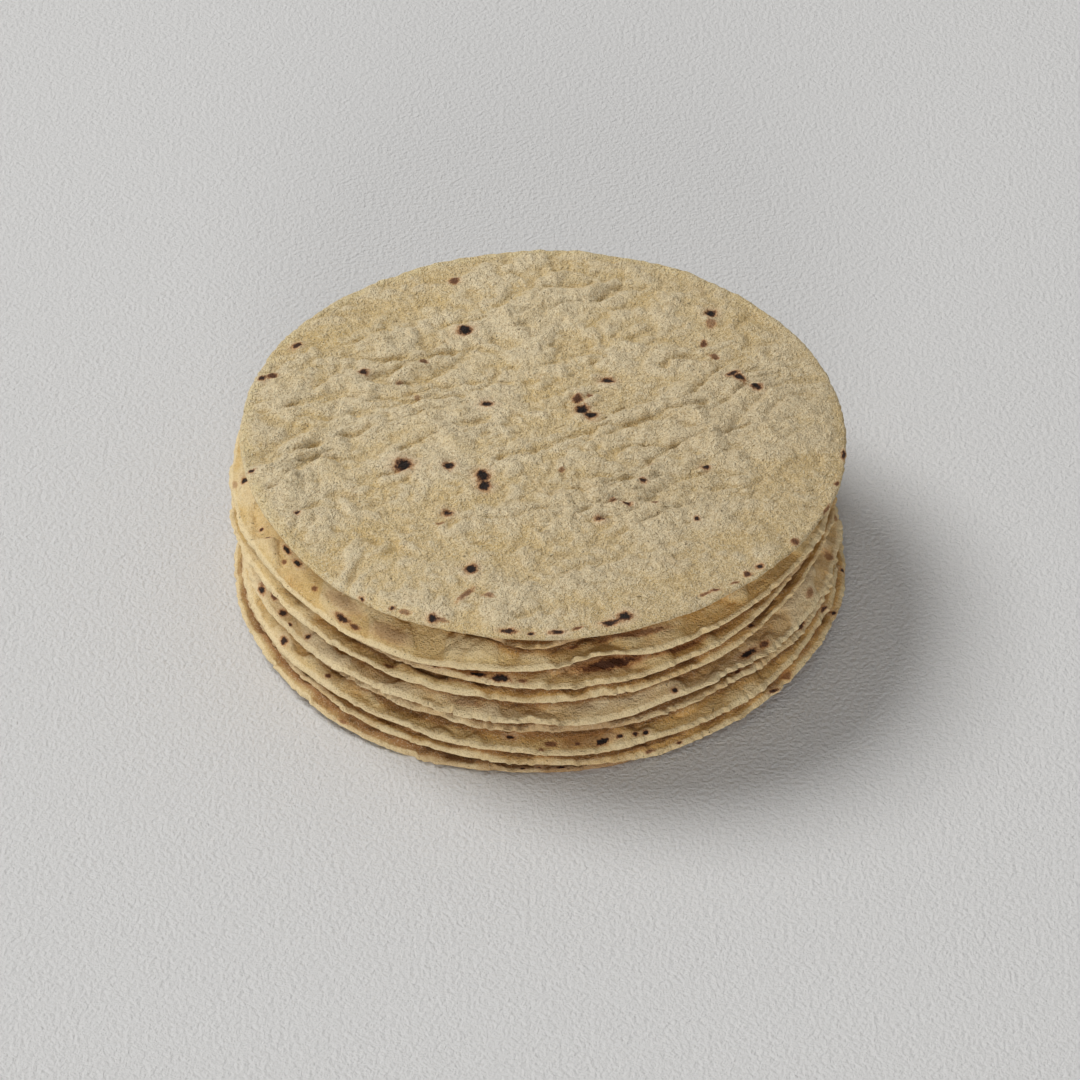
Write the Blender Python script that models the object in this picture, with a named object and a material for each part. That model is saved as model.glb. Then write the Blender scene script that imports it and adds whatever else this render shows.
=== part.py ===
"""Ten soft corn tortillas lying in a loose stack, each a thin disc with a drooping, wavy rim."""

import bmesh
import bpy
import numpy as np

for old in list(bpy.data.objects):
    bpy.data.objects.remove(old, do_unlink=True)

# Everything is in millimetres up to the last step, which makes metres of it.
MM = 0.001
SHEET = 3.6  # thickness of a tortilla inside its rim
RIM = 1.5  # thickness where the rim thins out to its edge
THIN_FROM = 0.80  # share of the radius where the thinning begins
GAP = 0.4  # least air between one tortilla and the next
BLEND = 0.4  # how softly a tortilla settles on the one below
DROOP_FROM = 0.70  # share of the radius where the rim begins to bend away from the flat middle
SPOKES = 56
TOP_RINGS = (0.40, 0.70, 0.86, 0.95, 0.99)
BOTTOM_RINGS = (0.97, 0.80)

# One row for each tortilla, from the lowest up: its radius, how far it lies off centre to the right
# and to the back, the height of its underside in the middle and at the rim, then the bends and the
# bulges of the rim as (direction in degrees, spread in degrees, millimetres up or out).
STACK = (
    (75.0, -1.2, -0.6, 0.0, 0.0, ((-155, 30, 2.4),), ((-45, 36, -2.2), (60, 40, -0.8))),
    (75.0, 1.15, -0.6, 4.2, 2.9, ((-68, 20, -1.6), (-30, 14, 1.6), (100, 40, 0.8)), ((-130, 30, -1.2),)),
    (74.0, 0.6, -0.6, 8.5, 5.6, ((-130, 24, 2.0), (-79, 10, -1.0), (70, 30, 1.4)), ((150, 30, 0.8),)),
    (73.3, 0.8, 0.4, 12.9, 10.8, ((-55, 14, 1.3), (-20, 22, -1.8), (120, 30, -1.2)), ((-130, 46, -1.6),)),
    (74.0, 0.3, -0.1, 17.3, 14.6, ((-118, 22, 1.7), (-80, 10, -1.2), (-56, 14, 2.2), (40, 26, 1.5)), ()),
    (74.5, -1.3, 0.9, 21.7, 21.6, ((-152, 26, 4.6), (-20, 30, 5.2), (95, 34, -2.0)), ((20, 30, -0.8),)),
    (
        73.4, 0.0, 0.9, 26.1, 24.7,
        ((-150, 28, 4.0), (-18, 30, 5.0), (80, 30, 1.6)), ((-140, 34, -1.8), (-30, 24, -1.6)),
    ),
    (74.0, -1.7, 0.9, 30.5, 30.6, ((-112, 14, -1.2), (-77, 7, 3.2), (-35, 16, 1.6), (60, 24, -1.4)), ()),
    (67.6, 0.0, 0.9, 34.9, 36.6, ((-90, 9, -0.6), (30, 30, 0.6)), ((-91, 9, 4.4), (70, 60, 4.0))),
    (74.0, 1.0, 0.9, 39.3, 41.0, ((-160, 22, 2.4), (-128, 12, -0.8), (-50, 22, 1.2), (-8, 16, -1.8)), ()),
)


def around(azimuth, places):
    """Sum of soft humps around a rim, each at its own direction."""
    total = np.zeros_like(azimuth)
    for direction, spread, size in places:
        away = (azimuth - np.radians(direction) + np.pi) % (2 * np.pi) - np.pi
        total += size * np.exp(-((away / np.radians(spread)) ** 2))
    return total


def soft_max(a, b):
    """The larger of two heights, with the change from one to the other rounded off."""
    return (a + b + np.sqrt((a - b) ** 2 + BLEND**2)) / 2


def radius_of(number, azimuth):
    """Radius of a tortilla's rim: pressed by hand, so never quite round."""
    radius, bulges = STACK[number][0], STACK[number][6]
    wobble = 0.25 * np.sin(3 * azimuth + number * 2.1) + 0.18 * np.sin(5 * azimuth + number * 4.3)
    return radius + wobble + around(azimuth, bulges)


def underside(number, x, y):
    """Height of a tortilla's underside, never closer to the one below than the gap."""
    _, right, back, middle, rim, bends, _ = STACK[number]
    azimuth = np.arctan2(y - back, x - right)
    share = np.hypot(x - right, y - back) / radius_of(number, azimuth)
    droop = np.clip((share - DROOP_FROM) / (1 - DROOP_FROM), 0, 1.2) ** 1.5
    height = middle + (rim + around(azimuth, bends) - middle) * droop
    if number:
        wave = np.sin(x / 17 + number * 1.7) * np.cos(y / 21 + number * 2.9)
        height = soft_max(height + 0.35 * wave, topside(number - 1, x, y) + GAP)
    return height


def topside(number, x, y):
    """Height of a tortilla's upper face; past the rim it falls away steeply."""
    _, right, back = STACK[number][:3]
    azimuth = np.arctan2(y - back, x - right)
    radius = radius_of(number, azimuth)
    reach = np.hypot(x - right, y - back)
    thinning = np.clip((reach / radius - THIN_FROM) / (1 - THIN_FROM), 0, 1)
    thickness = SHEET - (SHEET - RIM) * thinning**1.5
    return underside(number, x, y) + thickness - 2 * np.clip(reach - radius, 0, None)


def ring(bm, number, share, face):
    """One ring of points at a share of the radius, on the 'top', the 'edge' or the 'bottom'."""
    made = bmesh.ops.create_circle(bm, segments=SPOKES, radius=1.0)["verts"]
    flat = np.array([vert.co[:2] for vert in made])
    azimuth = np.arctan2(flat[:, 1], flat[:, 0])
    reach = radius_of(number, azimuth) * share
    x = STACK[number][1] + reach * np.cos(azimuth)
    y = STACK[number][2] + reach * np.sin(azimuth)
    low = underside(number, x, y)
    high = topside(number, x, y)
    if number == 0 and face == "bottom" and share < 0.9:
        low = np.zeros_like(low)
    z = {"top": high, "edge": (low * 0.6 + high * 0.4), "bottom": low}[face]
    for vert, place in zip(made, zip(x, y, z)):
        vert.co = place
    return made


def tortilla(number, colour):
    bm = bmesh.new()
    hoops = [ring(bm, number, share, "top") for share in TOP_RINGS]
    hoops.append(ring(bm, number, 1.0, "edge"))
    hoops += [ring(bm, number, share, "bottom") for share in BOTTOM_RINGS]
    edges = {edge for hoop in hoops for vert in hoop for edge in vert.link_edges}
    for upper, lower in zip(hoops, hoops[1:]):
        pair = {edge for vert in upper + lower for edge in vert.link_edges} & edges
        bmesh.ops.bridge_loops(bm, edges=list(pair))
    for hoop in (hoops[0], hoops[-1]):
        rim = [edge for edge in bm.edges if edge.is_boundary and edge.verts[0] in hoop]
        cap = bmesh.ops.edgeloop_fill(bm, edges=rim)["faces"]
        bmesh.ops.poke(bm, faces=cap)
    bmesh.ops.triangulate(bm, faces=bm.faces)
    bmesh.ops.recalc_face_normals(bm, faces=bm.faces)
    bmesh.ops.scale(bm, vec=(MM, MM, MM), verts=bm.verts)
    for face in bm.faces:
        face.smooth = True
    name = f"tortilla_{number + 1:02d}"
    mesh = bpy.data.meshes.new(name)
    bm.to_mesh(mesh)
    bm.free()
    material = bpy.data.materials.new(name)
    material.use_nodes = True
    shader = material.node_tree.nodes["Principled BSDF"]
    shader.inputs["Base Color"].default_value = (*colour, 1.0)
    shader.inputs["Roughness"].default_value = 0.85
    mesh.materials.append(material)
    made = bpy.data.objects.new(name, mesh)
    bpy.context.scene.collection.objects.link(made)


for count in range(len(STACK)):
    paler = 0.03 * np.sin(count * 2.4)
    tortilla(count, (0.56 + paler, 0.43 + paler, 0.24 + paler))
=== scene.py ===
import math

import bmesh
import bpy
import numpy as np
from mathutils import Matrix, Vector


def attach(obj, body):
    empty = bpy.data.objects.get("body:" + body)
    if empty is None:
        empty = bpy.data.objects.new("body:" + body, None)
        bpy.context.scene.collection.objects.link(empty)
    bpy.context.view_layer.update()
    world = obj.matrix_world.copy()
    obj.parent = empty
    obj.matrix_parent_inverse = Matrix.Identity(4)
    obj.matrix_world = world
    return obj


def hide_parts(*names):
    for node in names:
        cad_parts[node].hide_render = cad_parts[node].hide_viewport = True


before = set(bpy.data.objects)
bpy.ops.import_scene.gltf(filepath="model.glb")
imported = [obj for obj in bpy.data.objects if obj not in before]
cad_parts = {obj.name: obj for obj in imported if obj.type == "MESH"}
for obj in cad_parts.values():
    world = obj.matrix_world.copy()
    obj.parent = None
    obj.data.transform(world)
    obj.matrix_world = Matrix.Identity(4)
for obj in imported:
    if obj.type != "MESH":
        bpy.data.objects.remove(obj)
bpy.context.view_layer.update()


# ---- The pressed discs ----
# Each tortilla is a ball of corn dough pressed flat between two plates, so it is nearly round, a
# little over three millimetres thick, and thins to a crumbly rim. Ten of them lie loosely on each
# other, and each sags over the one below and bends down at its rim. Sizes are in millimetres.
# Thickness in the middle and at the rim, and the share of the radius at which the thinning starts.
SHEET = 3.6
RIM = 1.5
THIN_FROM = 0.80
# Least gap between two tortillas, how far the corners of that rule are rounded, and the share of
# the radius at which a tortilla begins to bend down.
GAP = 0.4
BLEND = 0.4
DROOP_FROM = 0.70

# Radius, right, back, height of the underside in the middle and at the rim, then the rim's bends
# and bulges as (direction in degrees, spread in degrees, millimetres up or out). Lowest first.
STACK = (
    (75.0, -1.2, -0.6, 0.0, 0.0, ((-155, 30, 2.4),), ((-45, 36, -2.2), (60, 40, -0.8))),
    (75.0, 1.15, -0.6, 4.2, 2.9, ((-68, 20, -1.6), (-30, 14, 1.6), (100, 40, 0.8)), ((-130, 30, -1.2),)),
    (74.0, 0.6, -0.6, 8.5, 5.6, ((-130, 24, 2.0), (-79, 10, -1.0), (70, 30, 1.4)), ((150, 30, 0.8),)),
    (73.3, 0.8, 0.4, 12.9, 10.8, ((-55, 14, 1.3), (-20, 22, -1.8), (120, 30, -1.2)), ((-130, 46, -1.6),)),
    (74.0, 0.3, -0.1, 17.3, 14.6, ((-118, 22, 1.7), (-80, 10, -1.2), (-56, 14, 2.2), (40, 26, 1.5)), ()),
    (74.5, -1.3, 0.9, 21.7, 21.6, ((-152, 26, 4.6), (-20, 30, 5.2), (95, 34, -2.0)), ((20, 30, -0.8),)),
    (
        73.4, 0.0, 0.9, 26.1, 24.7,
        ((-150, 28, 4.0), (-18, 30, 5.0), (80, 30, 1.6)), ((-140, 34, -1.8), (-30, 24, -1.6)),
    ),
    (74.0, -1.7, 0.9, 30.5, 30.6, ((-112, 14, -1.2), (-77, 7, 3.2), (-35, 16, 1.6), (60, 24, -1.4)), ()),
    (67.6, 0.0, 0.9, 34.9, 36.6, ((-90, 9, -0.6), (30, 30, 0.6)), ((-91, 9, 4.4), (70, 60, 4.0))),
    (74.0, 1.0, 0.9, 39.3, 41.0, ((-160, 22, 2.4), (-128, 12, -0.8), (-50, 22, 1.2), (-8, 16, -1.8)), ()),
)
TOP = len(STACK) - 1


def around(azimuth, places):
    """Sum of soft humps around a rim, each at its own direction."""
    total = np.zeros_like(azimuth)
    for direction, spread, size in places:
        away = (azimuth - np.radians(direction) + np.pi) % (2 * np.pi) - np.pi
        total += size * np.exp(-((away / np.radians(spread)) ** 2))
    return total


def soft_max(a, b):
    """The greater of two heights, with the corner between them rounded off."""
    return (a + b + np.sqrt((a - b) ** 2 + BLEND**2)) / 2


def radius_of(number, azimuth):
    """Radius of a tortilla's rim: pressed by hand, so never quite round."""
    radius, bulges = STACK[number][0], STACK[number][6]
    wobble = 0.25 * np.sin(3 * azimuth + number * 2.1) + 0.18 * np.sin(5 * azimuth + number * 4.3)
    return radius + wobble + around(azimuth, bulges)


def underside(number, x, y):
    """Height of a tortilla's underside, never closer to the one below than the gap."""
    _, right, back, middle, rim, bends, _ = STACK[number]
    azimuth = np.arctan2(y - back, x - right)
    share = np.hypot(x - right, y - back) / radius_of(number, azimuth)
    droop = np.clip((share - DROOP_FROM) / (1 - DROOP_FROM), 0, 1.2) ** 1.5
    height = middle + (rim + around(azimuth, bends) - middle) * droop
    if number:
        wave = np.sin(x / 17 + number * 1.7) * np.cos(y / 21 + number * 2.9)
        height = soft_max(height + 0.35 * wave, topside(number - 1, x, y) + GAP)
    return height


def topside(number, x, y):
    """Height of a tortilla's upper face; past the rim it falls away steeply."""
    _, right, back = STACK[number][:3]
    azimuth = np.arctan2(y - back, x - right)
    radius = radius_of(number, azimuth)
    reach = np.hypot(x - right, y - back)
    thinning = np.clip((reach / radius - THIN_FROM) / (1 - THIN_FROM), 0, 1)
    thickness = SHEET - (SHEET - RIM) * thinning**1.5
    return underside(number, x, y) + thickness - 2 * np.clip(reach - radius, 0, None)


def lumps(x, y, size, seed):
    """Smooth random relief from -1 to 1, with humps of about the given size, each seed on its own slant."""
    cells = 256
    middle = 100.0
    slant = 2.4 * seed
    lattice = np.random.default_rng(seed).uniform(-1, 1, (cells, cells))
    u = (x * math.cos(slant) - y * math.sin(slant)) / size + middle
    v = (x * math.sin(slant) + y * math.cos(slant)) / size + middle
    i, j = np.floor(u).astype(int), np.floor(v).astype(int)
    fu, fv = u - i, v - j
    fu, fv = fu * fu * (3 - 2 * fu), fv * fv * (3 - 2 * fv)
    i0, i1, j0, j1 = i % cells, (i + 1) % cells, j % cells, (j + 1) % cells
    near = lattice[i0, j0] * (1 - fu) + lattice[i1, j0] * fu
    far = lattice[i0, j1] * (1 - fu) + lattice[i1, j1] * fu
    return near * (1 - fv) + far * fv


# Where the top tortilla shrank most on the hot plate and is pleated: right, back and reach.
WRINKLED = ((44, 2, 17), (-26, 27, 17), (20, -27, 15), (12, 56, 13), (-52, -18, 12))

# Creases pressed into the top tortilla, as runs of (right, back) points, and the puffed blisters
# between them as right, back, reach and height.
CREASES = (
    ((-61, 9), (-42, 20), (-22, 32)), ((-9, -9), (14, 2), (40, 11)), ((5, -31), (29, -23), (46, -19)),
    ((15, -22), (34, -4), (53, 5)), ((-39, -40), (-46, -61)), ((-7, 46), (10, 52), (26, 59)),
    ((-34, -6), (-12, 6)), ((-20, -34), (6, -27)), ((30, 27), (48, 33)), ((-58, -6), (-40, 3)),
)
BLISTERS = (
    (-62, -17, 5.5, 1.1), (44, -4, 3.0, 0.7), (49, -9, 2.8, 0.6), (46, 2, 2.6, 0.5), (50, -17, 2.6, 0.8),
    (38, 6, 3.0, 0.5), (-32, 24, 3.2, 0.6), (-44, 17, 3.0, 0.6), (-6, 38, 3.4, 0.5), (62, -38, 3.4, 0.7),
    (56, -44, 3.0, 0.6), (-4, -44, 3.0, 0.4), (-30, -40, 3.6, 0.5), (30, -48, 3.6, 0.5),
    (-52, -38, 4.0, 0.5),
)


def crease_relief(x, y):
    """Grooves with a raised lip beside them along every crease, and a dome for every blister, in mm."""
    wander = 1.6
    lip_height, lip_away, lip_width = 0.38, 2.4, 1.7
    groove_depth, groove_width = 0.42, 0.8
    x = x + wander * lumps(x, y, 5.0, 971)
    y = y + wander * lumps(x, y, 5.0, 972)
    relief = np.zeros_like(x)
    for points in CREASES:
        away = np.full_like(x, 99.0)
        for (x0, y0), (x1, y1) in zip(points, points[1:]):
            run = math.hypot(x1 - x0, y1 - y0)
            along = np.clip(((x - x0) * (x1 - x0) + (y - y0) * (y1 - y0)) / run**2, 0, 1)
            away = np.minimum(away, np.hypot(x - x0 - along * (x1 - x0), y - y0 - along * (y1 - y0)))
        lip = lip_height * np.exp(-(((away - lip_away) / lip_width) ** 2))
        relief += lip - groove_depth * np.exp(-((away / groove_width) ** 2))
    for right, back, spread, height in BLISTERS:
        away = np.hypot(x - right, y - back) / spread
        relief += height * np.sqrt(np.clip(1 - away**2, 0, 1))
    return relief


def griddle_relief(number, x, y):
    """Folds, blisters and coarse grain that the hot plate and the press leave on a face, in mm.

    Each kind of relief runs from 0 or -1 to 1, and the figure before it is its height.
    """
    lean = math.radians(27 if number == TOP else 40 * number)
    along = x * math.cos(lean) + y * math.sin(lean)
    across = y * math.cos(lean) - x * math.sin(lean)
    seed = 10 * number
    bend = 4.5 * lumps(x, y, 17, seed + 1)
    folds = lumps(along / 2.7, across + bend, 4.2, seed + 2)
    creases = np.exp(-((folds / 0.11) ** 2))
    pleats = np.abs(lumps(along / 1.6, across + 0.6 * bend, 2.3, seed + 3))
    puffs = np.abs(lumps(x, y, 1.9, seed + 8))
    pillows = np.abs(lumps(x, y, 3.4, seed + 9))
    domes = np.clip(lumps(x, y, 6.2, seed + 4) + 0.05, 0, None)
    broad = lumps(x, y, 15, seed + 5)
    if number < TOP:
        bulbs = 2.0 * np.sqrt(domes) + 0.6 * pillows + 0.18 * puffs
        return bulbs + 0.15 * np.abs(folds) + 0.4 * broad - 1.15
    wrinkled = 0.30 + 0.35 * np.clip(0.5 + 1.5 * lumps(x, y, 19, seed + 7), 0, 1)
    for right, back, spread in WRINKLED:
        wrinkled = wrinkled + 0.60 * np.exp(-((x - right) ** 2 + (y - back) ** 2) / spread**2)
    relief = (1.30 * np.abs(folds) - 0.32 * creases + 0.75 * pleats) * wrinkled + 1.15 * crease_relief(x, y)
    return 1.2 * (relief + 0.46 * puffs + 0.68 * pillows + 0.7 * domes**1.5 + 0.30 * broad - 0.85)


# Scorch marks of each tortilla: right and back from the stack's axis, length and width, the
# direction of the length in degrees, and how far burnt, from 0.3 (a red tinge) to 1 (black).
SCORCHES = {
    9: (
        (-32.8, -12.2, 3.6, 3.2, 20, 1.0), (-21.7, -13.0, 2.2, 2.2, 0, 0.95),
        (-13.6, -16.2, 2.7, 3.6, 0, 1.0), (-13.0, -19.8, 2.6, 3.0, 0, 1.0),
        (-21.7, -29.7, 1.9, 2.4, 30, 0.85), (-23.5, -33.4, 1.6, 1.3, 0, 0.5),
        (-15.9, -50.0, 2.4, 3.0, 0, 0.95), (-17.0, -59.0, 4.6, 1.2, 50, 0.55),
        (-11.9, -59.6, 2.4, 1.3, -20, 0.5), (-12.7, 10.7, 2.4, 2.2, 0, 0.9),
        (-18.5, 40.4, 3.0, 2.8, 20, 0.95), (-43.5, 23.2, 2.0, 1.9, 0, 0.85),
        (-21.5, 60.9, 2.4, 2.0, -30, 0.65), (-28.5, 26.4, 1.8, 1.6, 0, 0.55),
        (-34.3, 19.3, 1.4, 1.3, 0, 0.5), (10.6, 9.6, 2.7, 2.8, -30, 1.0),
        (12.7, 7.4, 2.6, 2.4, -30, 1.0), (9.6, 13.4, 2.2, 2.2, 0, 0.7),
        (12.6, 14.6, 1.2, 1.2, 0, 0.6), (16.9, 20.8, 2.7, 2.0, 0, 0.92),
        (48.0, 22.4, 2.6, 1.4, 25, 0.85), (49.6, 20.8, 2.8, 1.8, -50, 0.95),
        (53.5, 16.5, 2.4, 1.7, -10, 0.95), (43.3, 47.3, 2.4, 2.6, 0, 0.95),
        (43.2, 43.2, 2.0, 2.2, 0, 0.5), (41.2, 35.2, 1.3, 2.0, 0, 0.65),
        (43.6, 29.6, 2.4, 1.2, -40, 0.55), (40.1, -12.6, 1.8, 1.6, -30, 0.9),
        (25.1, -19.3, 1.4, 1.9, 0, 0.85), (17.8, -26.4, 1.6, 1.9, 0, 0.55),
        (21.1, -27.1, 1.9, 1.3, -20, 0.8), (14.6, -31.9, 1.9, 1.6, -20, 0.85),
        (27.8, -27.1, 1.2, 1.1, 0, 0.75), (37.7, -31.9, 1.1, 1.2, 0, 0.9),
        (-24.6, -66.9, 2.0, 2.0, 0, 0.95), (-22.6, -67.4, 2.6, 0.9, -10, 0.5),
        (-31.1, -64.3, 2.6, 0.9, -20, 0.5), (-34.2, -63.0, 1.2, 0.8, 0, 0.8),
        (-7.1, -71.1, 3.2, 1.1, -5, 0.85), (-1.8, -71.9, 1.3, 1.0, 0, 0.9),
        (4.2, -71.7, 3.0, 1.1, 0, 0.85), (9.1, -70.3, 2.2, 1.0, 15, 0.65),
        (16.8, -68.7, 3.6, 1.6, 15, 0.85), (20.0, -66.9, 3.0, 2.4, 20, 1.0),
        (38.8, -59.2, 2.6, 0.9, 25, 0.55), (41.4, -58.3, 2.0, 0.9, 30, 0.65),
        (46.0, -55.5, 1.8, 1.0, 30, 0.6), (49.1, -52.4, 1.6, 1.4, 0, 0.75),
        (52.0, -49.6, 1.5, 1.5, 0, 0.9), (60.7, -40.4, 1.5, 1.7, 0, 0.65),
        (69.2, -27.0, 1.0, 3.6, -20, 0.55), (72.0, -16.4, 1.7, 1.0, 60, 0.65),
        (74.2, -5.8, 1.2, 2.6, 0, 0.85), (-66.0, 22.0, 2.0, 1.2, 20, 0.7),
        (-68.4, 20.8, 1.4, 1.6, 0, 0.85), (-60.3, 34.4, 2.2, 1.6, 40, 0.8),
        (-69.1, -16.4, 1.4, 1.1, 30, 0.85), (-57.6, -31.5, 1.2, 1.3, 0, 0.9),
        (-41.5, -59.5, 1.2, 1.3, 0, 0.9), (27.0, -12.0, 1.0, 0.9, 0, 0.7),
        (-30.0, 14.0, 1.0, 1.4, 0, 0.45), (5.5, -13.5, 1.3, 0.9, 30, 0.5),
    ),
}


# Marks along the rims of the tortillas below it: direction in degrees, distance in from the rim,
# length along the rim, width, and how far burnt.
RIM_SCORCHES = {
    0: (
        (-92, 1.0, 1.4, 1.0, 0.9), (-89, 1.2, 1.2, 1.0, 0.9), (-85, 1.2, 2.2, 1.0, 0.9),
        (-128, 1.0, 3.0, 1.2, 0.5),
    ),
    1: (
        (-70, 1.0, 2.4, 1.5, 0.6), (-64, 1.0, 1.6, 1.2, 0.8), (-42, 0.6, 3.0, 1.6, 0.8),
        (-37.8, 1.5, 2.6, 1.8, 0.55), (-17.8, 1.0, 1.8, 1.8, 0.85), (-5, 1.0, 1.6, 1.8, 0.95),
    ),
    2: (
        (-78.5, 3.4, 4.0, 2.2, 1.0), (-75, 3.4, 1.6, 1.2, 0.9), (-72, 3.0, 1.4, 1.2, 0.85),
        (-70, 2.5, 1.6, 1.6, 0.95), (-88, 3.4, 3.2, 1.4, 0.6), (-83, 3.4, 2.6, 1.2, 0.7),
        (-96, 4.6, 2.2, 1.2, 0.85), (-90, 1.5, 1.4, 1.0, 0.6), (-149, 2.6, 2.2, 1.8, 0.85),
        (-135.5, 3.0, 1.4, 1.4, 0.7), (-81, 4.2, 14.0, 3.2, 0.42),
    ),
    3: ((-49, 2.4, 2.0, 1.4, 0.7), (-20, 2.2, 2.4, 2.0, 0.5)),
    4: (
        (-159, 3.0, 2.0, 1.8, 0.5), (-150, 3.0, 2.0, 2.0, 0.85), (-141, 3.2, 1.8, 1.6, 0.85),
        (-146.5, 2.0, 1.2, 1.2, 0.8), (-64, 1.6, 1.6, 1.6, 0.9), (-46, 3.0, 5.0, 1.8, 0.95),
        (-42, 2.8, 2.6, 1.4, 0.7), (-12, 2.5, 2.6, 3.4, 0.5), (-104, 3.6, 7.0, 1.6, 0.4),
    ),
    5: ((-44.5, 2.4, 1.8, 1.5, 0.8), (-118, 2.2, 3.0, 1.0, 0.6)),
    6: (
        (-76, 6.4, 14.0, 3.4, 0.75), (-79, 5.6, 6.0, 2.2, 0.62), (-62, 4.6, 12.0, 1.8, 0.5),
        (-122, 2.4, 2.8, 1.2, 0.8), (-110.5, 1.8, 4.0, 1.5, 0.9), (-101.5, 2.0, 4.4, 1.6, 0.95),
        (-97, 1.6, 4.6, 1.8, 1.0), (-108, 3.6, 30.0, 2.4, 0.42), (-93, 1.6, 2.0, 1.0, 0.6),
    ),
    7: (
        (-150, 8.2, 3.4, 1.3, 0.95), (-145.5, 8.0, 3.2, 1.5, 0.95), (-128.5, 3.2, 3.8, 1.6, 0.85),
        (-125.5, 3.0, 2.8, 1.2, 0.7), (-159, 5.0, 1.3, 1.3, 0.8), (-155, 5.6, 1.3, 1.3, 0.8),
        (-148, 5.2, 1.4, 1.4, 0.6), (-138, 5.8, 1.5, 1.4, 0.6), (-118, 5.0, 9.0, 4.2, 0.4),
        (-130, 7.0, 10.0, 3.0, 0.36), (-82, 5.6, 2.4, 1.2, 0.6), (-70, 6.5, 16.0, 2.0, 0.55),
    ),
}

# The sides and back of each rim carry this many more marks, strewn by chance.
STREWN = 13
for number in range(TOP):
    chance = np.random.default_rng(40 + number)
    places = [
        (chance.uniform(-30, 210), chance.uniform(0.8, 5), chance.uniform(1, 3.4)) for _ in range(STREWN)
    ]
    extra = tuple((turn, inset, size, size * 0.6, chance.uniform(0.4, 1)) for turn, inset, size in places)
    RIM_SCORCHES[number] = RIM_SCORCHES.get(number, ()) + extra

# Shares of the listed distance, length and width that a mark on a rim keeps once the rim has shrunk.
KEPT_INSET, KEPT_LENGTH, KEPT_WIDTH = 0.8, 0.82, 0.75


def scorches_of(number):
    """Every scorch mark of one tortilla as right, back, length, width, direction and burn."""
    marks = list(SCORCHES.get(number, ()))
    _, right, back = STACK[number][:3]
    for direction, inset, length, width, burnt in RIM_SCORCHES.get(number, ()):
        turn = math.radians(direction)
        reach = float(radius_of(number, np.array(turn))) - KEPT_INSET * inset
        place = (right + reach * math.cos(turn), back + reach * math.sin(turn))
        marks.append((*place, KEPT_LENGTH * length, KEPT_WIDTH * width, direction + 90, burnt))
    return marks


def scorch_field(number, x, y):
    """How deep inside a scorch mark each point is, 1 at its heart and 0 at its edge, and its burn."""
    edge_at = 0.62
    depth = np.full_like(x, -3.0)
    burn = np.zeros_like(x)
    for right, back, length, width, turn, burnt in scorches_of(number):
        turn = math.radians(turn)
        along = (x - right) * math.cos(turn) + (y - back) * math.sin(turn)
        across = (y - back) * math.cos(turn) - (x - right) * math.sin(turn)
        inside = 1 - np.hypot(along / (length * edge_at), across / (width * edge_at))
        nearer = inside > depth
        depth[nearer] = inside[nearer]
        burn[nearer] = burnt
    return depth, burn


def bare_band(number, x, y):
    """How far each point lies outside the rim above, in mm, and the height of that rim's underside."""
    _, right, back = STACK[number + 1][:3]
    azimuth = np.arctan2(y - back, x - right)
    radius = radius_of(number + 1, azimuth)
    lip = underside(number + 1, right + radius * np.cos(azimuth), back + radius * np.sin(azimuth))
    return np.hypot(x - right, y - back) - radius, lip


# The share of the radius at which the rounding of the rim begins.
EDGE = 0.985


def blank_disc(upper_rings, spokes):
    """A disc of radius 1 with its upper face at height 1 and its underside at -1, in fine rings."""
    rim_steps = 9
    lower_rings = (1.0, 0.98, 0.95, 0.90, 0.6)
    turns = np.linspace(math.pi / 2, -math.pi / 2, rim_steps)[1:-1]
    rings = [(0.0, 1.0)] + [(share * EDGE, 1.0) for share in upper_rings]
    rings += [(EDGE + (1 - EDGE) * math.cos(turn), math.sin(turn)) for turn in turns]
    rings += [(share * EDGE, -1.0) for share in lower_rings]
    rings = np.array(rings + [(0.0, -1.0)])
    bm = bmesh.new()
    bmesh.ops.create_grid(bm, x_segments=spokes, y_segments=len(rings) - 1, size=1.0)
    for vert in bm.verts:
        share, side = rings[round((vert.co.y + 1) / 2 * (len(rings) - 1))]
        turn = (vert.co.x + 1) * math.pi
        vert.co = (share * math.cos(turn), share * math.sin(turn), side)
    bmesh.ops.remove_doubles(bm, verts=bm.verts, dist=1e-5)
    bmesh.ops.recalc_face_normals(bm, faces=bm.faces)
    for face in bm.faces:
        face.smooth = True
    blank = bpy.data.meshes.new("blank_disc")
    bm.to_mesh(blank)
    bm.free()
    return blank


# The two tortillas pressed from coarser dough, whose rims crumble most, lowest first.
COARSE = (3, 4)


def crumbs_of(number, azimuth, rim_x, rim_y):
    """How far the crumbs of a rim stand out, in mm: roughest at the front, in patches."""
    crumbs = 0.45 * lumps(rim_x, rim_y, 1.8, 500 + number) + 1.05 * lumps(rim_x, rim_y, 1.05, 600 + number)
    patchy = np.clip(0.7 + 0.9 * lumps(rim_x, rim_y, 5.0, 650 + number), 0.35, 1.2)
    patchy *= 0.45 + 0.75 * np.clip(-np.sin(azimuth), 0, 1) ** 3
    roughness = 1.2 if number in COARSE else 0.45 if number == TOP else 0.85
    swell = 0.2 if number == TOP else 0.5
    return crumbs * patchy * roughness + swell * lumps(rim_x, rim_y, 7.5, 700 + number)


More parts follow.
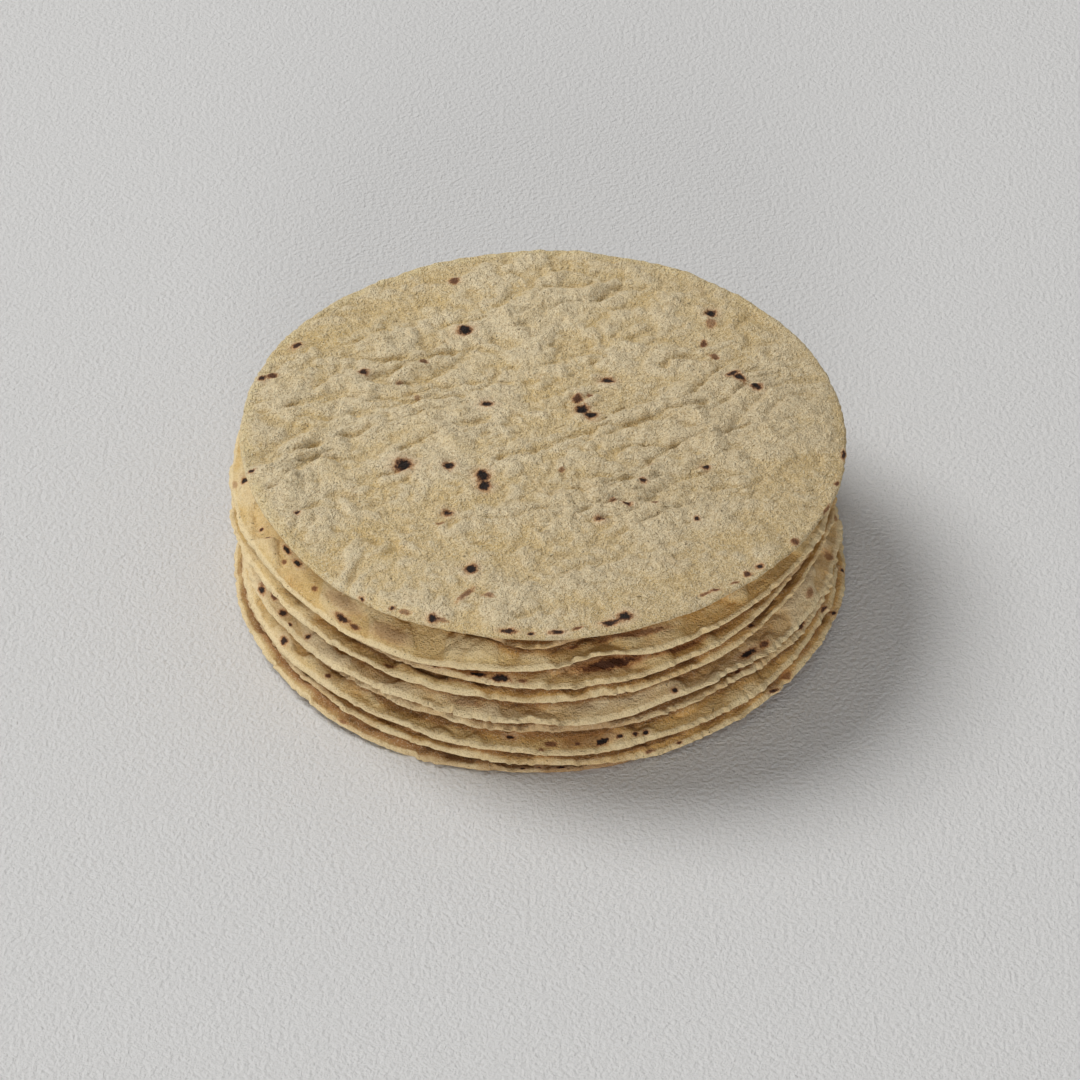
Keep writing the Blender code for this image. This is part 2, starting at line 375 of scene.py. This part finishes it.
def painted_shade_below(number, azimuth, open_by, flat_x, flat_y):
    """Painted shade on a covered tortilla, each up to about 1: warm under the rim above, dark deep beneath
    it.

    open_by is how far a point has come out from under that rim, sideways and down, in mm.
    """
    warm_shade_fades_over, deep_shade_fades_over = 2.6, 1.2
    # Ragged edges of the warm and the dark painted shade.
    warm_shade_edge = 1.5 * lumps(flat_x, flat_y, 5.0, 900 + number) - 0.4
    deep_shade_edge = 0.6 * lumps(flat_x, flat_y, 2.5, 950 + number) - 0.3
    toast_and_shade = 1 - np.clip((open_by + warm_shade_edge) / warm_shade_fades_over, 0, 1)
    painted_shade = 1 - np.clip((open_by + deep_shade_edge) / deep_shade_fades_over, 0, 1)
    # Painted shade is lighter on the side towards the lamp and heavier on the side away from it.
    lit_side = np.clip(np.cos(azimuth - 2.9), 0, 1)
    shaded_side = np.clip(np.cos(azimuth + 0.5), 0, 1)
    toast_and_shade = (0.95 - 0.45 * lit_side) * toast_and_shade + 0.35 * shaded_side
    # The lowest tortilla gets more painted shade at its front right, at the foot of the stack.
    if number == 0:
        toast_and_shade += 0.5 * np.clip(np.cos(azimuth + 1.1), 0, 1)
    return toast_and_shade, painted_shade


def pressed_disc(number, blank):
    """One tortilla: a blank disc laid on the tortilla below, with all its relief and marks."""
    name = f"corn_tortilla_{number + 1:02d}"
    mesh = blank.copy()
    mesh.name = name
    unit = np.empty(len(mesh.vertices) * 3)
    mesh.vertices.foreach_get("co", unit)
    unit = unit.reshape(-1, 3)
    azimuth = np.arctan2(unit[:, 1], unit[:, 0])
    share = np.hypot(unit[:, 0], unit[:, 1])
    side = (unit[:, 2] + 1) / 2

    # The plain disc, with its crumbs at the rim.
    _, right, back = STACK[number][:3]
    radius = radius_of(number, azimuth)
    rim_x, rim_y = radius * np.cos(azimuth), radius * np.sin(azimuth)
    crumbs = crumbs_of(number, azimuth, rim_x, rim_y)
    crumbs_from, crumbs_over = 0.965, 0.035
    at_rim = np.clip((share - crumbs_from) / crumbs_over, 0, 1) ** 2
    reach = share * radius + crumbs * at_rim
    x = right + reach * np.cos(azimuth)
    y = back + reach * np.sin(azimuth)
    smooth_x = right + np.minimum(share, 1) * radius * np.cos(azimuth)
    smooth_y = back + np.minimum(share, 1) * radius * np.sin(azimuth)
    low = underside(number, smooth_x, smooth_y)
    high = topside(number, smooth_x, smooth_y)
    at_lip = topside(number, right + rim_x, back + rim_y)
    inward = np.clip(radius * (EDGE - share), 0, None)

    # The open band of a covered tortilla slopes from just under the rim above down to its own rim.
    slope_starts_inside, slope_starts_under, opens_over = 2.6, 1.1, 2.5
    if number < TOP:
        bare, lip = bare_band(number, smooth_x, smooth_y)
        outward = np.clip(bare + slope_starts_inside, 0, None)
        across = outward / np.maximum(outward + inward, 0.01)
        slope = at_lip + (lip - slope_starts_under - at_lip) * (1 - across**1.5)
        open_band = np.clip((bare + inward) / opens_over, 0, 1)
        high = high + open_band * np.clip(slope - high, 0, None)
    waves = 0.3 if number == TOP else 0.5
    waves_from, waves_over = 0.9, 0.1
    at_waves = np.clip((share - waves_from) / waves_over, 0, 1)
    ruffle = waves * lumps(rim_x, rim_y, 9.0, 800 + number) * at_waves
    z = low + (high - low) * side + ruffle
    z += crumbs * at_rim * (1 - side) * 0.8
    mesh.vertices.foreach_set("co", np.stack([x, y, z], axis=1).ravel())
    mesh.update()

    # Relief stands out along the surface and fades near the rim. On a steep band it is laid out flat,
    # measured from the rim. It stays clear of the tortilla above, and the lowest one off the table.
    normals = np.empty(len(mesh.vertices) * 3)
    mesh.vertex_normals.foreach_get("vector", normals)
    normals = normals.reshape(-1, 3)
    from_lip = np.hypot(inward, high - at_lip) + radius * (1 - np.maximum(share, EDGE)) - RIM * (1 - side)
    flat_x = right + (radius - from_lip) * np.cos(azimuth)
    flat_y = back + (radius - from_lip) * np.sin(azimuth)
    relief = griddle_relief(number, flat_x, flat_y)
    fades_from, fades_over, lost_at_rim = 0.955, 0.04, 0.70
    fade = side * (1 - lost_at_rim * np.clip((share - fades_from) / fades_over, 0, 1))
    placed = np.stack([x, y, z], axis=1) + normals * (relief * fade)[:, None]
    if number < TOP:
        clear = 0.1
        covered = bare < -0.5
        roof = underside(number + 1, placed[:, 0], placed[:, 1]) - clear
        placed[:, 2] = np.where(covered, np.minimum(placed[:, 2], roof), placed[:, 2])
    if number == 0:
        placed[:, 2] = np.maximum(placed[:, 2], 0.0)
    mesh.vertices.foreach_set("co", placed.ravel() * 0.001)

    # What the dough's colours follow. On the top tortilla the painted shade runs across to its darker right
    # side, away from the lamp.
    if number < TOP:
        open_by = bare + 1.15 * (lip - high)
        toast_and_shade, painted_shade = painted_shade_below(number, azimuth, open_by, flat_x, flat_y)
    else:
        # On the top tortilla the first mask is a pale golden rim, strongest at the back left.
        toast_and_shade = np.clip((share - 0.955) / 0.025, 0, 1) * np.clip(np.cos(azimuth - 2.2) + 0.45, 0, 1)
        painted_shade = np.clip(0.5 + 0.5 * (x - 0.4 * y) / radius, 0, 1)
    depth, burn = scorch_field(number, flat_x, flat_y)
    followed = {
        "relief": relief, "rim": share, "toast_and_shade": toast_and_shade, "painted_shade": painted_shade, "scorch": depth, "burn": burn,
    }
    for title, values in followed.items():
        layer = mesh.attributes.new(title, "FLOAT", "POINT")
        layer.data.foreach_set("value", values.astype(np.float32))
    mesh.update()
    disc = bpy.data.objects.new(name, mesh)
    bpy.context.scene.collection.objects.link(disc)
    return disc


class Field:
    """A number, colour or vector that varies over a surface, as a socket that plain sums work on."""

    def __init__(self, tree, socket=None):
        self.tree = tree
        self.socket = socket

    def node(self, kind, settings, sockets, output=0):
        """The output of a new node, with its settings made first and then its sockets set or linked."""
        made = self.tree.nodes.new(kind)
        for setting, value in settings.items():
            setattr(made, setting, value)
        for name, value in sockets.items():
            if isinstance(value, Field):
                self.tree.links.new(value.socket, made.inputs[name])
            elif isinstance(value, tuple) and len(value) == 3 and made.inputs[name].type == "RGBA":
                made.inputs[name].default_value = (*value, 1.0)
            else:
                made.inputs[name].default_value = value
        return Field(self.tree, made.outputs[output])

    def math(self, operation, first, second):
        """One sum on two numbers, either of which may vary."""
        return self.node("ShaderNodeMath", {"operation": operation}, {0: first, 1: second})

    def __add__(self, other):
        return self.math("ADD", self, other)

    def __radd__(self, other):
        return self.math("ADD", other, self)

    def __sub__(self, other):
        return self.math("SUBTRACT", self, other)

    def __rsub__(self, other):
        return self.math("SUBTRACT", other, self)

    def __mul__(self, other):
        return self.math("MULTIPLY", self, other)

    def __rmul__(self, other):
        return self.math("MULTIPLY", other, self)

    def rise(self, start, end):
        """0 where the number is at start, 1 where it is at end, smooth between."""
        settings = {"interpolation_type": "SMOOTHSTEP"}
        sockets = {"Value": self, "From Min": start, "From Max": end}
        return self.node("ShaderNodeMapRange", settings, sockets)

    def paint(self, under, over):
        """Colour over laid on colour under as far as this number says."""
        return self.node("ShaderNodeMix", {"data_type": "RGBA"}, {0: self, 6: under, 7: over}, 2)

    def noise(self, size, detail=2.0, roughness=0.5):
        """Cloudy numbers around 0.5 on this vector, with clouds of the given size in its units."""
        sockets = {"Vector": self, "Scale": 1.0 / size, "Detail": detail, "Roughness": roughness}
        return self.node("ShaderNodeTexNoise", {}, sockets)


def masa(number, pale, yellow, toasted_and_shaded):
    """Baked corn dough: chalky pale crust, yellow where thin or damp, brown and black where scorched, with
    painted shade under the rims above, in the hollows and on the side away from the lamp.
    """
    material = bpy.data.materials.new(f"masa_{number + 1:02d}")
    material.use_nodes = True
    shader = material.node_tree.nodes["Principled BSDF"]
    start = Field(material.node_tree)
    place = start.node("ShaderNodeTexCoord", {}, {}, "Object")
    shift = (37.0 * number, 11.0 * number, 5.0 * number)
    to_millimetres = (1000.0,) * 3
    place = start.node("ShaderNodeMapping", {}, {0: place, "Location": shift, "Scale": to_millimetres})
    relief, rim, toast_and_shade, painted_shade, scorch, burn = (
        start.node("ShaderNodeAttribute", {"attribute_name": title}, {}, "Fac")
        for title in ("relief", "rim", "toast_and_shade", "painted_shade", "scorch", "burn")
    )

    # Cloudy patches, mottling, crumbs, grain and dust, each finer than the one before.
    patches = place.noise(13.0, 3.0, 0.6)
    mottle = place.noise(2.4, 3.0, 0.65)
    crumbs = 1 - start.node("ShaderNodeTexVoronoi", {}, {"Vector": place, "Scale": 1.3})
    grain = place.noise(0.7, 2.0, 0.7)
    dust = place.noise(0.30, 1.0, 0.5)

    # Chalky where it stands up, yellower and darker in the hollows as partly painted shade, yellow at the
    # thin rim, and toasted as it was baked; on the covered tortillas the toasted colour is also painted
    # shade.
    hollow = 1 - (relief.rise(-0.45, 0.25) if number == TOP else relief.rise(-0.8, 0.5))
    yellowness = patches.rise(0.45, 0.7) * 0.4 + hollow * 0.6 + mottle.rise(0.5, 0.75) * 0.3
    colour = yellowness.paint(pale, yellow)
    thin = rim.rise(0.95, 0.98) * patches.rise(0.35, 0.55)
    colour = (thin * 0.6).paint(colour, yellow)
    if number < TOP:
        blotches = place.noise(7.0, 3.0, 0.6).rise(0.50, 0.70)
        # Toasted blotches and mottle of the dough, with painted shade in the toasted colour: in the recess
        # under the rim above, in the hollows and on the side away from the lamp.
        baked_and_shaded = toast_and_shade + hollow * 0.30 + (mottle - 0.5) * 0.5 + blotches * 0.3
        colour = (baked_and_shaded.rise(0.1, 1.1) * 0.85).paint(colour, toasted_and_shaded)
        # Painted shade: a dark brown line deep in the recess under the rim above.
        colour = (painted_shade * 0.8).paint(colour, (0.34, 0.145, 0.045))
        # A pale lip at the rim, partly the dry edge's own colour and partly a painted highlight where the
        # edge catches the light, less of it where the painted shade lies.
        lip = rim.rise(0.984, 0.992) * (1 - toast_and_shade * 0.5)
        colour = (lip * 0.75).paint(colour, (0.92, 0.75, 0.45))
    else:
        colour = (toast_and_shade * mottle.rise(0.3, 0.6) * 0.8).paint(colour, (0.92, 0.76, 0.43))
        warm = place.noise(9.0, 3.0, 0.65).rise(0.60, 0.78)
        colour = (warm * 0.35).paint(colour, toasted_and_shaded)
        # Painted shade: the top tortilla darker towards its right side, away from the lamp.
        colour = (painted_shade.rise(0.3, 0.95) * 0.36).paint(colour, (0.56, 0.43, 0.25))
    speckle = (grain - 0.5) * 0.85 + (dust - 0.5) * 2.9 + (crumbs - 0.62) * 0.5
    colour = (speckle.rise(0.0, 0.6) * (0.85 if number == TOP else 0.4)).paint(colour, (0.90, 0.785, 0.55))
    shade = (0.0 - speckle).rise(0.0, 0.7) * (0.75 if number == TOP else 0.35)
    colour = shade.paint(colour, (0.43, 0.285, 0.13))
    pores = place.noise(0.9, 1.0, 0.4).rise(0.27, 0.20)
    colour = (pores * 0.6).paint(colour, (0.17, 0.11, 0.05))

    # A scorch mark: a pale halo, a red-brown tinge, brown, and black at its heart, all ragged.
    ragged = scorch + (place.noise(0.9, 3.0, 0.75) - 0.5) * 1.7
    halo = ragged.rise(-1.5, -0.5) * burn.rise(0.5, 0.95)
    colour = (halo * 0.35).paint(colour, (0.82, 0.61, 0.39))
    tinge = ragged.rise(-0.6, 0.2) * burn.rise(0.1, 0.7)
    colour = (tinge * 0.75).paint(colour, (0.50, 0.20, 0.06))
    brown = ragged.rise(-0.15, 0.35) * burn.rise(0.2, 0.75)
    colour = (brown * 0.85).paint(colour, (0.12, 0.04, 0.022))
    black = ragged.rise(0.1, 0.5) * burn.rise(0.55, 0.95)
    colour = (black * 0.95).paint(colour, (0.012, 0.009, 0.008))
    start.tree.links.new(colour.socket, shader.inputs["Base Color"])

    shader.inputs["Specular IOR Level"].default_value = 0.25
    gloss = 0.86 - black * 0.25
    start.tree.links.new(gloss.socket, shader.inputs["Roughness"])
    height = crumbs * 0.25 + grain * 0.7 + dust * 0.42 + mottle * 0.9 - pores * 0.4 - black * 0.3
    bump = {"Height": height, "Strength": 1.0, "Distance": 0.0011 if number == TOP else 0.0006}
    normal = start.node("ShaderNodeBump", {}, bump, "Normal")
    start.tree.links.new(normal.socket, shader.inputs["Normal"])
    return material


# Rings lie closest where the dough shows: all over the top tortilla, and near the rim of the rest.
# A dough has a chalky, a yellow and a toasted colour; the toasted one also paints shade. The ten tortillas
# are laid from the lowest up.
face_rings = [0.1, 0.3, 0.5, 0.65, 0.76, 0.82] + list(np.linspace(0.86, 1.0, 36))
top_rings = list(np.linspace(0.009, 1.0, 111))
plain_blank = blank_disc(face_rings, spokes=1200)
top_blank = blank_disc(top_rings, spokes=800)
COMMON_DOUGH = ((0.83, 0.65, 0.365), (0.77, 0.545, 0.22), (0.65, 0.345, 0.085))
COARSE_DOUGH = ((0.81, 0.64, 0.385), (0.74, 0.535, 0.255), (0.61, 0.34, 0.11))
TINTS = {
    # The lowest tortilla's colours are darker and browner: painted shade at the foot of the stack.
    0: ((0.78, 0.60, 0.31), (0.68, 0.47, 0.19), (0.40, 0.20, 0.065)),
    3: COARSE_DOUGH,
    4: COARSE_DOUGH,
    9: ((0.93, 0.775, 0.505), (0.83, 0.61, 0.28), (0.69, 0.42, 0.17)),
}
for number in range(len(STACK)):
    disc = pressed_disc(number, top_blank if number == TOP else plain_blank)
    disc.data.materials.append(masa(number, *TINTS.get(number, COMMON_DOUGH)))
    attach(disc, "root")
    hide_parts(f"tortilla_{number + 1:02d}")
    f"tortilla_{number + 1:02d}"


# ---- The table, the light and the camera ----
# A pale, faintly rough table top, one broad soft lamp at the back left, a weak card in front and an
# even pale room, seen from the front and above through a long lens. Sizes here are in metres.
bm = bmesh.new()
bmesh.ops.create_grid(bm, x_segments=1, y_segments=1, size=6.0)
table_mesh = bpy.data.meshes.new("table_top")
bm.to_mesh(table_mesh)
bm.free()
table = bpy.data.objects.new("table_top", table_mesh)
bpy.context.scene.collection.objects.link(table)
paint = bpy.data.materials.new("pale_paint")
paint.use_nodes = True
coat = paint.node_tree.nodes["Principled BSDF"]
coat.inputs["Base Color"].default_value = (0.72, 0.712, 0.70, 1.0)
coat.inputs["Roughness"].default_value = 0.8
coat.inputs["Specular IOR Level"].default_value = 0.2
start = Field(paint.node_tree)
place = start.node("ShaderNodeTexCoord", {}, {}, "Object")
stipple = place.noise(0.0012, 3.0, 0.6)
bump = {"Height": stipple, "Strength": 1.0, "Distance": 0.00075}
normal = start.node("ShaderNodeBump", {}, bump, "Normal")
start.tree.links.new(normal.socket, coat.inputs["Normal"])
table_mesh.materials.append(paint)

room = bpy.data.worlds.new("pale_room")
room.use_nodes = True
room.node_tree.nodes["Background"].inputs["Color"].default_value = (1.0, 1.0, 1.0, 1.0)
room.node_tree.nodes["Background"].inputs["Strength"].default_value = 0.285
bpy.context.scene.world = room


def aim(thing, place, target):
    """Put a lamp or a camera at its place, turned towards the target."""
    thing.location = place
    thing.rotation_euler = (Vector(target) - Vector(place)).to_track_quat("-Z", "Y").to_euler()
    bpy.context.scene.collection.objects.link(thing)


lamp_data = bpy.data.lights.new("window_lamp", "AREA")
lamp_data.shape = "DISK"
lamp_data.size = 3.0
lamp_data.energy = 208.0
lamp = bpy.data.objects.new("window_lamp", lamp_data)
middle_of_stack = (0.0, 0.0, 0.02)
aim(lamp, (-3.0, 1.88, 4.2), middle_of_stack)
card_data = bpy.data.lights.new("front_card", "AREA")
card_data.shape = "DISK"
card_data.size = 0.9
card_data.energy = 22.0
card = bpy.data.objects.new("front_card", card_data)
aim(card, (-0.1, -2.4, 0.55), middle_of_stack)

bpy.context.scene.view_settings.view_transform = "Standard"
camera_data = bpy.data.cameras.new("front_camera")
camera_data.lens = 150.0
camera_data.sensor_width = 36.0
camera_data.clip_end = 20.0
camera = bpy.data.objects.new("front_camera", camera_data)
lift = math.radians(40.93)
target = Vector((0.0003, 0.0009, 0.0079))
distance = 1.1205
away = Vector((0.0, -math.cos(lift), math.sin(lift))) * distance
aim(camera, target + away, target)
bpy.context.scene.camera = camera
